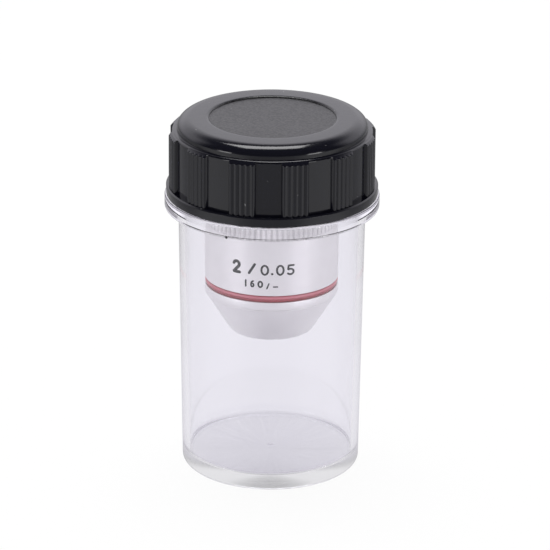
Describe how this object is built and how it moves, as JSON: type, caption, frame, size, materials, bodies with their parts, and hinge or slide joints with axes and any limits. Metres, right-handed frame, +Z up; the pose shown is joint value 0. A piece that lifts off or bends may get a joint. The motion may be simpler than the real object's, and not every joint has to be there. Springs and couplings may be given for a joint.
{
  "type": "microscope objective in storage case",
  "caption": "Low-power microscope objective with standard mounting thread, screwed into the ribbed black cap of its clear plastic storage jar.",
  "frame": {"origin": "centre of the jar's foot, on the surface that the case stands on", "axes": "+Z up along the common axis of jar, cap and objective; -Y towards the front, where the objective's numbers are"},
  "size_m": [0.042, 0.042, 0.0718],
  "materials": {
    "clear_plastic": "clear moulded polystyrene, polished",
    "black_plastic": "black moulded plastic, glossy with a fine-textured centre",
    "satin_plate": "satin plated, fine turned grain",
    "red_enamel": "muted red enamel in a groove",
    "black_anodised": "black anodised, fine turned",
    "optical_glass": "polished and coated optical glass",
    "bare_brass": "plain brass shim",
    "black_steel": "blackened steel"
  },
  "bodies": {
    "jar": {"case_jar": "clear_plastic"},
    "cap": {"case_cap": "black_plastic"},
    "objective": {"barrel": "satin_plate", "colour_ring": "red_enamel", "nose_cone": "satin_plate", "front_cell": "black_anodised", "front_lens": "optical_glass", "front_retaining_ring": "black_anodised", "field_baffle": "black_anodised", "lens_tube": "black_anodised", "middle_lens": "optical_glass", "lens_spacer": "black_anodised", "doublet_flint": "optical_glass", "doublet_crown": "optical_glass", "aperture_stop": "black_anodised", "rear_retaining_ring": "black_anodised", "tube_lock_ring": "black_anodised", "parfocal_shim": "bare_brass", "grub_screw_a": "black_steel", "grub_screw_b": "black_steel", "grub_screw_c": "black_steel"}
  },
  "joints": [
    {"name": "cap_lift", "type": "slide", "parent": "jar", "child": "cap", "axis": [0, 0, 1], "range_m": [0, 0.06]},
    {"name": "objective_drop", "type": "slide", "parent": "cap", "child": "objective", "axis": [0, 0, -1], "range_m": [0, 0.02]}
  ]
}
